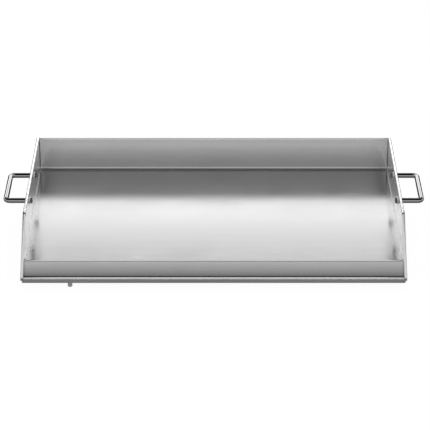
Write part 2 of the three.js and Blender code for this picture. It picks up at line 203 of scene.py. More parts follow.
def make_world():
    """A soft studio that metal mirrors, with a white backdrop straight behind it."""
    world = bpy.data.worlds.new("studio")
    bpy.context.scene.world = world
    world.use_nodes = True
    n = Nodes(world.node_tree)
    direction = n.add("ShaderNodeTexCoord").outputs["Generated"]
    x, y, z = n.add("ShaderNodeSeparateXYZ", {0: direction}).outputs
    around = n.math("ARCTAN2", z, n.math("MULTIPLY", y, -1.0))
    turn = n.math("MULTIPLY_ADD", around, 0.5 / math.pi, 0.5)
    round_tone = n.ramp(turn, [((deg + 180.0) / 360.0, tone) for deg, tone in STUDIO_ROUND])
    height = n.math("MULTIPLY_ADD", n.math("ARCSINE", z), 1.0 / math.pi, 0.5)
    side_tone = n.ramp(height, [((deg + 90.0) / 180.0, tone) for deg, tone in STUDIO_SIDES])
    sideways = n.scale(n.math("ABSOLUTE", x), SIDES_BEGIN, SIDES_FULL, 0.0, 1.0, smooth=True)
    tone = n.mix(sideways, round_tone, side_tone)
    seen = n.add("ShaderNodeLightPath").outputs["Is Camera Ray"]
    shown = n.mix(seen, tone, (BACKDROP, BACKDROP, BACKDROP, 1.0))
    background = n.add("ShaderNodeBackground", {0: shown, 1: 1.0}).outputs[0]
    n.add("ShaderNodeOutputWorld", {0: background})


CARD_Y = 1.4
CARD_WIDTH = 5.0
CARD_BOTTOM = 0.48
CARD_TOP = 1.22
CARD_STRENGTH = 2.42
CARD_STOPS = ((0.0, 1.0), (0.26, 1.0), (0.37, 0.72), (0.51, 0.34), (0.66, 0.14), (0.89, 0.50))


def make_back_card():
    """A wide softbox behind the griddle, which fades towards its top."""
    mesh = bpy.data.meshes.new("back_card")
    half = CARD_WIDTH / 2
    corners = [(-half, CARD_BOTTOM), (half, CARD_BOTTOM), (half, CARD_TOP), (-half, CARD_TOP)]
    mesh.from_pydata([(x, CARD_Y, z) for x, z in corners], [], [(0, 1, 2, 3)])
    card = bpy.data.objects.new("back_card", mesh)
    bpy.context.scene.collection.objects.link(card)
    card.visible_camera = False
    card.visible_shadow = False
    material, n = new_material("back_card")
    place = n.add("ShaderNodeTexCoord").outputs["Generated"]
    up = n.add("ShaderNodeSeparateXYZ", {0: place}).outputs[2]
    glow = n.add("ShaderNodeEmission", {0: n.ramp(up, CARD_STOPS), 1: CARD_STRENGTH})
    clear = n.add("ShaderNodeBsdfTransparent")
    facing = n.add("ShaderNodeNewGeometry").outputs["Backfacing"]
    shader = n.add("ShaderNodeMixShader", {0: facing, 1: glow.outputs[0], 2: clear.outputs[0]})
    n.add("ShaderNodeOutputMaterial", {0: shader.outputs[0]})
    mesh.materials.append(material)


FLAG_NEAR = 0.466
FLAG_FAR = 0.95
FLAG_FRONT = -0.26
FLAG_BACK = 0.40
FLAG_HEIGHT = 0.37
FLAG_BLACK = (0.01, 0.01, 0.01, 1.0)


def make_flags():
    """A black card over each handle, which draws the dark band along the chrome."""
    for side, sign in SIDES:
        name = f"{side}_flag"
        mesh = bpy.data.meshes.new(name)
        near, far = FLAG_NEAR * sign, FLAG_FAR * sign
        places = ((near, FLAG_FRONT), (far, FLAG_FRONT), (far, FLAG_BACK), (near, FLAG_BACK))
        corners = [(x, y, FLAG_HEIGHT) for x, y in places]
        mesh.from_pydata(corners, [], [(0, 1, 2, 3)])
        flag = bpy.data.objects.new(name, mesh)
        bpy.context.scene.collection.objects.link(flag)
        flag.visible_camera = False
        flag.visible_shadow = False
        flag.visible_diffuse = False
        material, n = new_material(name)
        black = n.add("ShaderNodeBsdfDiffuse", {0: FLAG_BLACK})
        n.add("ShaderNodeOutputMaterial", {0: black.outputs[0]})
        mesh.materials.append(material)


FLOOR_HALF = 15.0
FLOOR_GLOW = 0.95
FLOOR_PAINT = (0.08, 0.08, 0.08, 1.0)


def make_floor():
    """A plain white floor, which the metal doesn't mirror and which is clear from below."""
    mesh = bpy.data.meshes.new("floor")
    corners = [(-1, -1), (1, -1), (1, 1), (-1, 1)]
    places = [(x * FLOOR_HALF, y * FLOOR_HALF, 0.0) for x, y in corners]
    mesh.from_pydata(places, [], [(0, 1, 2, 3)])
    floor = bpy.data.objects.new("floor", mesh)
    bpy.context.scene.collection.objects.link(floor)
    floor.visible_glossy = False
    material, n = new_material("floor_white")
    inputs = {
        "Base Color": FLOOR_PAINT,
        "Roughness": 0.9,
        "Specular IOR Level": 0.0,
        "Emission Color": (1.0, 1.0, 1.0, 1.0),
        "Emission Strength": FLOOR_GLOW,
    }
    paint = n.add("ShaderNodeBsdfPrincipled", inputs).outputs[0]
    clear = n.add("ShaderNodeBsdfTransparent").outputs[0]
    under = n.add("ShaderNodeNewGeometry").outputs["Backfacing"]
    shader = n.add("ShaderNodeMixShader", {0: under, 1: paint, 2: clear}).outputs[0]
    n.add("ShaderNodeOutputMaterial", {0: shader})
    mesh.materials.append(material)


# ---- Metals ------------------------------------------------------------------------------

GRAIN_UV = "grain"

# Noise scales per metre: (across the grain, along it) for what brushing leaves.
STREAKS = (1100.0, 5.0)
BANDS = (60.0, 1.5)
WIPES = (30.0, 12.0)
CLOUDS = 9.0
STREAK_SHADE = 0.06
STREAK_GLOSS = 0.07

# Painted light and shade by height, as shares of the base colour: painted shade darker towards
# the back wall's foot, then down the plate's drop a painted highlight along its bend, a painted
# lighter band below that and painted shade at its foot, with the plate's top face left as it is.
BACK_FOOT_PAINTED_SHADE = 0.74
BACK_PAINTED_SHADE_POWER = 1.7
DROP_SHADED = 34 * MM
DROP_PAINTED_LIGHT = 1.48
DROP_FOOT_PAINTED_SHADE = 0.50
BEND_PAINTED_HIGHLIGHT = 1.6
BEND_HIGHLIGHT_FALLOFF = 0.62


def lean_back(n, up, crown, normal):
    """The slight crown that forming leaves in an upright sheet: it leans back by `crown`
    radians at its top and stands upright at its foot."""
    height = n.math("MAXIMUM", n.math("SUBTRACT", up, PLATE_TOP), 0.0)
    rise = BACK_HIGH.z - PLATE_TOP
    bow = n.math("MULTIPLY", n.math("POWER", height, 3.0), -crown / (3 * rise**2))
    inputs = {"Strength": 1.0, "Distance": 1.0, "Height": bow, "Normal": normal}
    return n.add("ShaderNodeBump", inputs).outputs[0]


def back_painted_shade(n, up):
    """Painted shade: darker towards the back wall's foot."""
    share = n.scale(up, PLATE_TOP, BACK_HIGH.z, 0.0, 1.0)
    rise = n.math("POWER", share, BACK_PAINTED_SHADE_POWER)
    return n.math("MULTIPLY_ADD", rise, 1.0 - BACK_FOOT_PAINTED_SHADE, BACK_FOOT_PAINTED_SHADE)


def drop_painted_light_and_shade(n, up):
    """Painted light and shade down the plate's drop: a painted highlight along its bend, a
    painted lighter band below that and painted shade towards its foot. It is 1 on the plate's
    top face. It depends on height only, so it also lightens the plate's underside, by about a
    quarter."""

    def below_top(start, end, at_start, at_end):
        return n.scale(up, PLATE_TOP - start, PLATE_TOP - end, at_start, at_end)

    # Painted shade at the drop's foot, rising to painted light near its top.
    drop_shading = below_top(DROP_SHADED, 4 * MM, DROP_FOOT_PAINTED_SHADE, DROP_PAINTED_LIGHT)
    bend = below_top(3.6 * MM, 2.4 * MM, 1.0, 1.0 / DROP_PAINTED_LIGHT)
    # Painted highlight along the bend at the drop's top edge.
    bend_highlight = below_top(0.5 * MM, 0.05 * MM, BEND_PAINTED_HIGHLIGHT, 1.0)
    bend_highlight = n.math("MULTIPLY", bend_highlight, below_top(1.4 * MM, 0.9 * MM, BEND_HIGHLIGHT_FALLOFF, 1.0))
    return n.math("MULTIPLY", drop_shading, n.math("MULTIPLY", bend, bend_highlight))


def brushed_steel(
    name, tone, roughness, grain_axis, grain=1.0, anisotropy=0.5, crown=0.0, drop=False
):
    """Brushed stainless sheet, with its grain along one axis of the row frame."""
    material, n = new_material(name)
    place = n.add("ShaderNodeTexCoord").outputs["Object"]
    up = n.add("ShaderNodeSeparateXYZ", {0: place}).outputs[2]

    def stretched(scales):
        across, along = scales
        stretch = [across, across, across]
        stretch[grain_axis] = along
        return stretch

    streaks = n.noise(place, stretched(STREAKS), detail=4.0, roughness=0.6)
    bands = n.noise(place, stretched(BANDS), detail=3.0)
    clouds = n.noise(place, [CLOUDS] * 3, detail=4.0, roughness=0.55)
    wiped = n.noise(place, stretched(WIPES), detail=5.0, roughness=0.6)

    shade = n.scale(streaks, 0.3, 0.7, 1.0 - STREAK_SHADE * grain, 1.0)
    shade = n.math("MULTIPLY", shade, n.scale(bands, 0.3, 0.7, 0.985, 1.0))
    colour = n.mix(1.0, (*tone, 1.0), shade, blend="MULTIPLY")
    if drop:
        # Painted light and shade down the plate's drop.
        colour = n.mix(1.0, colour, drop_painted_light_and_shade(n, up), blend="MULTIPLY")

    swing = STREAK_GLOSS * grain
    gloss = n.scale(streaks, 0.3, 0.7, roughness * (1 - swing), roughness * (1 + swing))
    gloss = n.math("ADD", gloss, n.scale(clouds, 0.35, 0.65, -0.012, 0.012))
    gloss = n.math("ADD", gloss, n.scale(wiped, 0.55, 0.75, 0.0, 0.03, smooth=True))

    fine = {"Strength": 0.1 * grain, "Distance": 0.03 * MM, "Height": streaks}
    bump = n.add("ShaderNodeBump", fine).outputs[0]
    broad = {"Strength": 0.04, "Distance": 0.8 * MM, "Height": clouds, "Normal": bump}
    wave = n.add("ShaderNodeBump", broad).outputs[0]
    if crown:
        wave = lean_back(n, up, crown, wave)
        # Painted shade: the colour darkens towards the back wall's foot.
        colour = n.mix(1.0, colour, back_painted_shade(n, up), blend="MULTIPLY")

    tangent = n.add("ShaderNodeTangent", direction_type="UV_MAP", uv_map=GRAIN_UV).outputs[0]
    inputs = {
        "Base Color": colour,
        "Metallic": 1.0,
        "Roughness": gloss,
        "Anisotropic": anisotropy,
        "Normal": wave,
        "Tangent": tangent,
    }
    metal = n.add("ShaderNodeBsdfPrincipled", inputs)
    n.add("ShaderNodeOutputMaterial", {0: metal.outputs[0]})
    return material


def finish_metal(n, material, colour, gloss, bump, metallic=1.0):
    """Adds the shader of a metal without grain. `bump` is (height, strength)."""
    height, strength = bump
    inputs = {"Strength": strength, "Distance": 0.05 * MM, "Height": height}
    normal = n.add("ShaderNodeBump", inputs).outputs[0]
    inputs = {"Base Color": colour, "Metallic": metallic, "Roughness": gloss, "Normal": normal}
    metal = n.add("ShaderNodeBsdfPrincipled", inputs)
    n.add("ShaderNodeOutputMaterial", {0: metal.outputs[0]})
    return material


def polished_steel(name, tone, roughness, wear=1.0):
    """Polished or plated metal with faint wear in its gloss."""
    material, n = new_material(name)
    place = n.add("ShaderNodeTexCoord").outputs["Object"]
    fine = n.noise(place, [260.0] * 3, detail=5.0)
    rubbed = n.noise(place, [45.0] * 3, detail=4.0, roughness=0.6)
    gloss = n.scale(fine, 0.3, 0.7, roughness * 0.8, roughness * 1.3)
    gloss = n.math("ADD", gloss, n.scale(rubbed, 0.5, 0.8, 0.0, 0.05 * wear, smooth=True))
    shade = n.scale(rubbed, 0.2, 0.8, 1.0 - 0.06 * wear, 1.0)
    colour = n.mix(1.0, (*tone, 1.0), shade, blend="MULTIPLY")
    return finish_metal(n, material, colour, gloss, (fine, 0.03 * wear))


def mill_steel(name, tone, roughness):
    """Unbrushed sheet with the cloudy grey finish that it left the mill with."""
    material, n = new_material(name)
    place = n.add("ShaderNodeTexCoord").outputs["Object"]
    clouds = n.noise(place, [14.0] * 3, detail=6.0, roughness=0.65)
    specks = n.noise(place, [420.0] * 3, detail=3.0)
    dark = tuple(c * 0.82 for c in tone)
    colour = n.mix(n.scale(clouds, 0.35, 0.65, 0.0, 1.0), (*dark, 1.0), (*tone, 1.0))
    shade = n.scale(specks, 0.3, 0.75, 0.93, 1.0)
    colour = n.mix(1.0, colour, shade, blend="MULTIPLY")
    gloss = n.scale(clouds, 0.3, 0.7, roughness * 0.85, roughness * 1.2)
    return finish_metal(n, material, colour, gloss, (specks, 0.15), metallic=0.9)


def weld_steel(name, tone, roughness):
    """Weld metal: silver with faint straw and blue patches left by the heat."""
    material, n = new_material(name)
    place = n.add("ShaderNodeTexCoord").outputs["Object"]
    heat = n.noise(place, [90.0] * 3, detail=3.0)
    scale = n.noise(place, [900.0] * 3, detail=4.0)
    straw = (tone[0], tone[1] * 0.92, tone[2] * 0.78, 1.0)
    blue = (tone[0] * 0.80, tone[1] * 0.86, tone[2], 1.0)
    colour = n.mix(n.scale(heat, 0.45, 0.62, 0.0, 0.5, smooth=True), (*tone, 1.0), straw)
    colour = n.mix(n.scale(heat, 0.62, 0.75, 0.0, 0.5, smooth=True), colour, blue)
    gloss = n.scale(scale, 0.3, 0.7, roughness * 0.8, roughness * 1.25)
    return finish_metal(n, material, colour, gloss, (scale, 0.12))


def grey(tone):
    return (tone, tone, tone)


BACK_CROWN = math.radians(6.5)
# The plate's steel carries painted light and shade down its drop.
PLATE_STEEL = brushed_steel(
    "plate_steel", grey(0.57), 0.165, 0, grain=0.6, anisotropy=0.75, drop=True
)
WALL_STEEL = brushed_steel("wall_steel", grey(0.80), 0.26, 0)
# The back wall's steel carries painted shade towards its foot.
BACK_STEEL = brushed_steel("back_steel", grey(0.69), 0.19, 0, crown=BACK_CROWN)
SIDE_STEEL = brushed_steel("side_steel", grey(0.86), 0.24, 1)
PIPE_STEEL = polished_steel("pipe_steel", grey(0.90), 0.42)
UNDER_STEEL = mill_steel("under_steel", (0.52, 0.53, 0.54), 0.42)
CHROME = polished_steel("handle_chrome", (0.42, 0.42, 0.425), 0.035, wear=0.4)
FASTENER_STEEL = polished_steel("fastener_steel", grey(0.21), 0.20)
WASHER_STEEL = polished_steel("washer_steel", grey(0.90), 0.32)
WELD_STEEL = weld_steel("weld_steel", grey(0.55), 0.30)
# Near-black: painted shade in the joints along the back wall's foot, up its corners and in the
# side walls' reliefs.
SEAM_PAINTED_SHADE = mill_steel("seam_painted_shade", (0.045, 0.044, 0.044), 0.5)
GROUND_WELD = polished_steel("ground_weld", grey(0.86), 0.45)

# ---- Mesh work ---------------------------------------------------------------------------

X, Y, Z = Vector((1, 0, 0)), Vector((0, 1, 0)), Vector((0, 0, 1))
SHARP_ANGLE = math.radians(28.0)
FLAT_ANGLE = math.radians(0.3)
ARC_STEP = math.radians(6.0)
SAME_POINT = 0.001 * MM
REPEATED_POINT = 0.01 * MM
TIP_RADIUS = 0.02 * MM


def grain_map(mesh, axis):
    """Adds a UV layer whose U runs across the grain, where brushing scatters light most."""
    grain = Vector((0.0, 0.0, 0.0))
    grain[axis] = 1.0
    other = Vector((0.0, 0.0, 0.0))
    other[(axis + 1) % 3] = 1.0
    layer = mesh.uv_layers.new(name=GRAIN_UV)
    for polygon in mesh.polygons:
        along = grain if abs(polygon.normal.dot(grain)) < 0.9 else other
        across = polygon.normal.cross(along).normalized()
        for loop in polygon.loop_indices:
            place = mesh.vertices[mesh.loops[loop].vertex_index].co
            layer.data[loop].uv = (place.dot(across), place.dot(along))


def break_edges(piece, width):
    """Bevels a piece's sharp edges by a width, as a file does."""
    bevel = piece.modifiers.new("broken_edges", "BEVEL")
    bevel.width = width
    bevel.segments = 2
    bevel.limit_method = "ANGLE"
    bevel.angle_limit = SHARP_ANGLE
    bevel.harden_normals = True


def new_piece(name, shape, material, replaces=(), grain_axis=0, edge=0.0):
    """A smooth-shaded piece of the griddle from a bmesh, with its sharp edges broken when an
    edge width is given.
    """
    for face in shape.faces:
        face.smooth = True
    mesh = bpy.data.meshes.new(name)
    shape.to_mesh(mesh)
    shape.free()
    mesh.set_sharp_from_angle(angle=SHARP_ANGLE)
    grain_map(mesh, grain_axis)
    mesh.materials.append(material)
    piece = bpy.data.objects.new(name, mesh)
    bpy.context.scene.collection.objects.link(piece)
    if edge:
        break_edges(piece, edge)
    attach(piece, "root")
    if replaces:
        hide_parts(*replaces)
    return piece


def cad_shape(node):
    """A CAD node's shape with its flat faces whole, ready for finer edges."""
    shape = bmesh.new()
    shape.from_mesh(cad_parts[node].data)
    bmesh.ops.remove_doubles(shape, verts=shape.verts, dist=SAME_POINT)
    bmesh.ops.dissolve_limit(shape, angle_limit=FLAT_ANGLE, verts=shape.verts, edges=shape.edges)
    return shape


def left_of(direction):
    return Vector((-direction.y, direction.x))


def rounded_corner(corner, before, after, radius):
    """The arc of one radius that rounds a corner between two directions."""
    turn = before.angle_signed(after)
    if abs(turn) < 1e-4 or radius < 1e-6:
        return [corner]
    side = -math.copysign(1.0, turn)
    sweep = abs(turn)
    start = corner - before * radius * math.tan(sweep / 2)
    centre = start + left_of(before) * side * radius
    steps = max(2, math.ceil(sweep / ARC_STEP))
    spoke = start - centre
    return [
        centre + Matrix.Rotation(side * sweep * i / steps, 2) @ spoke for i in range(steps + 1)
    ]


def fold_outline(corners, thickness):
    """The closed outline of folded sheet. Each corner of its middle line is (y, z, inside
    bend radius, outside bend radius)."""
    line = [Vector(corner[:2]) for corner in corners]
    faces = ([], [])
    for i, point in enumerate(line):
        before = (point - line[i - 1]).normalized() if i else None
        after = (line[i + 1] - point).normalized() if i + 1 < len(line) else None
        if before is None or after is None:
            step = left_of(before or after) * thickness / 2
            faces[0].append(point + step)
            faces[1].append(point - step)
            continue
        mitre = (left_of(before) + left_of(after)).normalized()
        mitre *= thickness / 2 / mitre.dot(left_of(before))
        turns_left = left_of(before).dot(after) > 0
        inside, outside = corners[i][2:4]
        left_radius, right_radius = (inside, outside) if turns_left else (outside, inside)
        faces[0].extend(rounded_corner(point + mitre, before, after, left_radius))
        faces[1].extend(rounded_corner(point - mitre, before, after, right_radius))
    outline = faces[0] + faces[1][::-1]
    last = outline[-1:] + outline[:-1]
    return [here for here, there in zip(outline, last) if (here - there).length > REPEATED_POINT]


def join_rings(shape, first, second):
    """A band of faces between two rings of as many corners."""
    count = len(first)
    for i in range(count):
        j = (i + 1) % count
        shape.faces.new((first[i], first[j], second[j], second[i]))


def skin(shape, rings, looped=False):
    """Joins rings of as many points each into one surface. It ends in a face on the first
    ring and one on the last, or, if it is looped, joins the last ring to the first."""
    rows = [[shape.verts.new(point) for point in ring] for ring in rings]
    for first, second in zip(rows, rows[1:]):
        join_rings(shape, first, second)
    if looped:
        join_rings(shape, rows[-1], rows[0])
    else:
        shape.faces.new(rows[0][::-1])
        shape.faces.new(rows[-1])


def outwards(shape):
    bmesh.ops.recalc_face_normals(shape, faces=shape.faces)
    return shape


def folded_strip(corners, low_x, high_x, thickness=SHEET):
    """Folded sheet of one section from one X to another."""
    outline = fold_outline(corners, thickness)
    shape = bmesh.new()
    skin(shape, [[Vector((x, p.x, p.y)) for p in outline] for x in (low_x, high_x)])
    return outwards(shape)


TURN_SEGMENTS = 48


def turned(shape, origin, axis, profile, segments=TURN_SEGMENTS):
    """Turns a profile of (distance along the axis, radius) round a unit axis. The profile
    closes on itself."""
    first = axis.orthogonal().normalized()
    second = axis.cross(first)
    rings = []
    for along, radius in profile:
        ring = []
        for i in range(segments):
            angle = 2 * math.pi * i / segments
            spoke = first * math.cos(angle) + second * math.sin(angle)
            ring.append(origin + axis * along + spoke * radius)
        rings.append(ring)
    skin(shape, rings, looped=True)


# ---- Sheet pieces ------------------------------------------------------------------------


def back_wall_piece():
    """The back wall: foot bent forwards onto the plate, top edge folded flat to the back."""
    half = SHEET / 2
    wall_y = BACK_HIGH.y - BACK_HEM + half
    leg_y = BACK_HIGH.y - half
    foot_z = BACK_LOW.z + half
    top_z = BACK_HIGH.z - half
    corners = [
        (BACK_LOW.y, foot_z, 0.0, 0.0),
        (wall_y, foot_z, FOOT_BEND, FOOT_BEND + SHEET),
        (wall_y, top_z, BACK_HEM / 2 - SHEET, BACK_HEM / 2),
        (leg_y, top_z, BACK_HEM / 2 - SHEET, BACK_HEM / 2),
        (leg_y, BACK_HIGH.z - BACK_HEM_LEG, 0.0, 0.0),
    ]
    shape = folded_strip(corners, BACK_LOW.x, BACK_HIGH.x)
    new_piece(
        "back_splash_wall", shape, BACK_STEEL, ["back_wall"], edge=BROKEN_EDGE
    )


def drop_direction():
    """The way that the plate's front drops into the trough, as (y, z)."""
    return Vector((-DROP_RUN, TROUGH_FLOOR - PLATE_TOP)).normalized()


def lap_corner():
    """Where the trough's middle line turns up behind the plate's drop."""
    down = drop_direction()
    behind = left_of(down)
    edge = Vector((DROP_EDGE_Y, PLATE_TOP)) + behind * (SHEET * 1.5 + SEAM)
    return edge + down * ((edge.y - (TROUGH_FLOOR - SHEET / 2)) / -down.y)


def trough_piece():
    """The grease trough: a channel whose front edge is folded flat and back into it."""
    half = SHEET / 2
    rear = lap_corner()
    lap_top = rear - drop_direction() * TROUGH_LAP
    front_y = TROUGH_LOW.y + half
    lip_z = LIP_TOP - half
    lip_y = TROUGH_LOW.y + LIP_HEM - half
    bend = TROUGH_BEND - half
    corners = [
        (lap_top.x, lap_top.y, 0.0, 0.0),
        (rear.x, rear.y, bend, bend + SHEET),
        (front_y, TROUGH_FLOOR - half, bend, bend + SHEET),
        (front_y, lip_z, LIP_HEM / 2 - SHEET, LIP_HEM / 2),
        (lip_y, lip_z, LIP_HEM / 2 - SHEET, LIP_HEM / 2),
        (lip_y, LIP_TOP - LIP_HEM_LEG, 0.0, 0.0),
    ]
    shape = folded_strip(corners, TROUGH_LOW.x, TROUGH_HIGH.x)
    piece = new_piece("grease_trough_channel", shape, WALL_STEEL, ["grease_trough"])
    cut_drain_hole(piece)
    break_edges(piece, BROKEN_EDGE)


def cut_drain_hole(piece):
    """Cuts the hole for the drain pipe through the trough's floor."""
    middle = (PIPE_LOW + PIPE_HIGH) / 2
    radius = (PIPE_HIGH.x - PIPE_LOW.x) / 2 + PIPE_HOLE_GAP
    shape = bmesh.new()
    bmesh.ops.create_cone(
        shape,
        cap_ends=True,
        segments=TURN_SEGMENTS,
        radius1=radius,
        radius2=radius,
        depth=4 * SHEET,
        matrix=Matrix.Translation((middle.x, middle.y, TROUGH_LOW.z)),
    )
    mesh = bpy.data.meshes.new("drain_drill")
    shape.to_mesh(mesh)
    shape.free()
    drill = bpy.data.objects.new("drain_drill", mesh)
    bpy.context.scene.collection.objects.link(drill)
    cut = piece.modifiers.new("drain_hole", "BOOLEAN")
    cut.operation = "DIFFERENCE"
    cut.solver = "EXACT"
    cut.object = drill
    graph = bpy.context.evaluated_depsgraph_get()
    done = bpy.data.meshes.new_from_object(piece.evaluated_get(graph))
    piece.modifiers.clear()
    old = piece.data
    piece.data = done
    bpy.data.meshes.remove(old)
    bpy.data.objects.remove(drill)
    for polygon in done.polygons:
        polygon.use_smooth = True
    done.set_sharp_from_angle(angle=SHARP_ANGLE)
    while done.uv_layers:
        done.uv_layers.remove(done.uv_layers[0])
    grain_map(done, 0)


def other_sheet_pieces():
    """The plate, the side walls, the stiffeners and the rails, with their edges broken."""
    shape = cad_shape("cooking_plate")
    new_piece(
        "cooking_plate_sheet",
        shape,
        PLATE_STEEL,
        ["cooking_plate"],
        edge=BROKEN_EDGE,
    )
    for side in ("left", "right"):
        node = f"{side}_side_wall"
        name = f"{side}_splash_wall"
        shape = cad_shape(node)
        new_piece(name, shape, SIDE_STEEL, [node], 1, BROKEN_EDGE)
        node = f"{side}_support_rail"
        name = f"{side}_rail_channel"
        shape = cad_shape(node)
        new_piece(name, shape, UNDER_STEEL, [node], 1, BROKEN_EDGE)
    for place in ("rear", "middle", "front"):
        node = f"stiffener_{place}"
        shape = cad_shape(node)
        name = f"{node}_hat"
        new_piece(name, shape, UNDER_STEEL, [node], edge=THIN_BROKEN_EDGE)


# ---- Handles, bolts, washers and the drain pipe --------------------------------------------

HANDLE_BEND = 10 * MM
ROD_BORE = 8 * MM
ROD_BORE_DEPTH = 20 * MM
ROD_CHAMFER = 0.5 * MM
ROD_SEGMENTS = 40


def handle_piece(side, sign):
    """A polished rod bent to a level U, its two ends bored for the bolts."""
    low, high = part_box(f"{side}_handle")
    radius = (high.z - low.z) / 2
    level = (high.z + low.z) / 2
    near, far = (low.x, high.x) if sign > 0 else (high.x, low.x)
    grip_x = far - sign * radius
    back_y, front_y = high.y - radius, low.y + radius
    out = Vector((sign, 0.0))
    forwards = Vector((0.0, -1.0))
    line = [Vector((near, back_y))]
    line += rounded_corner(Vector((grip_x, back_y)), out, forwards, HANDLE_BEND)
    line += rounded_corner(Vector((grip_x, front_y)), forwards, -out, HANDLE_BEND)
    line.append(Vector((near, front_y)))

    stations = []
    bore = ROD_BORE / 2
    deep = line[0] + out * ROD_BORE_DEPTH
    stations.append((deep, out, TIP_RADIUS))
    stations.append((deep, out, bore))
    stations.append((line[0] + out * ROD_CHAMFER, out, bore))
    stations.append((line[0], out, bore + ROD_CHAMFER))
    stations.append((line[0], out, radius - ROD_CHAMFER))
    stations.append((line[0] + out * ROD_CHAMFER, out, radius))
    for i in range(1, len(line) - 1):
        run = (line[i + 1] - line[i - 1]).normalized()
        if i == 1:
            run = out
        if i == len(line) - 2:
            run = -out
        stations.append((line[i], run, radius))
    end = line[-1]
    deep = end + out * ROD_BORE_DEPTH
    stations.append((end + out * ROD_CHAMFER, -out, radius))
    stations.append((end, -out, radius - ROD_CHAMFER))
    stations.append((end, -out, bore + ROD_CHAMFER))
    stations.append((end + out * ROD_CHAMFER, -out, bore))
    stations.append((deep, -out, bore))
    stations.append((deep, -out, TIP_RADIUS))

    rings = []
    for centre, run, size in stations:
        across = left_of(run)
        ring = []
        for i in range(ROD_SEGMENTS):
            angle = 2 * math.pi * i / ROD_SEGMENTS
            spoke = across * math.cos(angle) * size
            height = level + math.sin(angle) * size
            ring.append(Vector((centre.x + spoke.x, centre.y + spoke.y, height)))
        rings.append(ring)
    shape = bmesh.new()
    skin(shape, rings)
    node = f"{side}_handle"
    new_piece(f"{side}_rod_handle", outwards(shape), CHROME, [node], grain_axis=1)


BOLT_FLATS = 13 * MM
BOLT_SHANK = 8 * MM
BOLT_HEAD = 5.3 * MM
HEAD_CROWN = 0.94
HEAD_CHAMFER = math.tan(math.radians(30))
WASHER_FACE = 0.35 * MM
SHANK_FILLET = 0.4 * MM
THREAD_START = 3 * MM
THREAD_PITCH = 1.25 * MM
THREAD_DEPTH = 0.35 * MM
POINT_LENGTH = 1.2 * MM
POINT_TAPER = 0.9 * MM
HEX_SEGMENTS = 60


def bolt_piece(side, place, sign):
    """A hexagon bolt: dished and chamfered head with a washer face, and a thread of rings."""
    node = f"{side}_{place}_bolt"
    low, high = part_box(node)
    middle = (low + high) / 2
    outer, inner = (high.x, low.x) if sign > 0 else (low.x, high.x)
    length = abs(outer - inner)
    flats = BOLT_FLATS / 2
    crown = flats * HEAD_CROWN
    shank = BOLT_SHANK / 2

    def hexagon(angle):
        return flats / math.cos((angle + math.pi / 6) % (math.pi / 3) - math.pi / 6)

    def station(along, radius):
        return lambda angle: (along, radius)

    def chamfer(base, away):
        def at(angle):
            edge = hexagon(angle)
            return base + away * max(edge - crown, 0.0) * HEAD_CHAMFER, edge

        return at

    stations = [
        station(0.25 * MM, TIP_RADIUS),
        station(0.22 * MM, crown * 0.62),
        station(0.04 * MM, crown * 0.72),
        station(0.0, crown * 0.80),
        station(0.0, crown),
        chamfer(0.0, 1.0),
        chamfer(BOLT_HEAD - WASHER_FACE, -1.0),
        station(BOLT_HEAD - WASHER_FACE, crown),
        station(BOLT_HEAD, crown - 0.05 * MM),
        station(BOLT_HEAD, shank + SHANK_FILLET),
        station(BOLT_HEAD + SHANK_FILLET, shank),
    ]
    along = BOLT_HEAD + THREAD_START
    while along < length - 2 * THREAD_PITCH:
        stations.append(station(along, shank))
        stations.append(station(along + THREAD_PITCH * 0.5, shank - THREAD_DEPTH))
        along += THREAD_PITCH
    stations.append(station(length - POINT_LENGTH, shank))
    stations.append(station(length, shank - POINT_TAPER))
    stations.append(station(length, TIP_RADIUS))
    rings = []
    for at in stations:
        ring = []
        for i in range(HEX_SEGMENTS):
            angle = 2 * math.pi * i / HEX_SEGMENTS
            distance, radius = at(angle)
            y = middle.y + math.cos(angle) * radius
            z = middle.z + math.sin(angle) * radius
            ring.append(Vector((inner + sign * distance, y, z)))
        rings.append(ring)
    shape = bmesh.new()
    skin(shape, rings)
    new_piece(f"{node}_body", outwards(shape), FASTENER_STEEL, [node])


WASHER_HOLE = 8.7 * MM
WASHER_ROUND = 0.45 * MM
WASHER_STEPS = 4
WASHER_BACK_EDGE = 0.1 * MM


def washer_piece(side, place, sign):
    """A stamped washer, rounded on the face that the punch entered."""
    node = f"{side}_{place}_washer"
    low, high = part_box(node)
    middle = (low + high) / 2
    thick = high.x - low.x
    outer = (high.z - low.z) / 2
    hole = WASHER_HOLE / 2
    inner_x = low.x if sign > 0 else high.x
    angles = [math.pi / 2 * i / WASHER_STEPS for i in range(WASHER_STEPS + 1)]
    round_in = [WASHER_ROUND * (1 - math.sin(angle)) for angle in angles]
    round_out = [WASHER_ROUND * (1 - math.cos(angle)) for angle in angles]
    profile = [(along, hole + out) for along, out in zip(round_in, round_out)]
    profile += [(along, outer - out) for along, out in zip(round_out, round_in)]
    profile.append((thick - WASHER_BACK_EDGE, outer))
    profile.append((thick, outer - WASHER_BACK_EDGE))
    profile.append((thick, hole + WASHER_BACK_EDGE))
    profile.append((thick - WASHER_BACK_EDGE, hole))
    shape = bmesh.new()
    origin = Vector((inner_x, middle.y, middle.z))
    turned(shape, origin, X * sign, profile)
    name = f"{node}_disc"
    new_piece(name, outwards(shape), WASHER_STEEL, [node])


PIPE_BORE = 8 * MM
PIPE_END_ROUND = 0.8
PIPE_END_STEPS = 8
PIPE_EDGE = 0.2 * MM


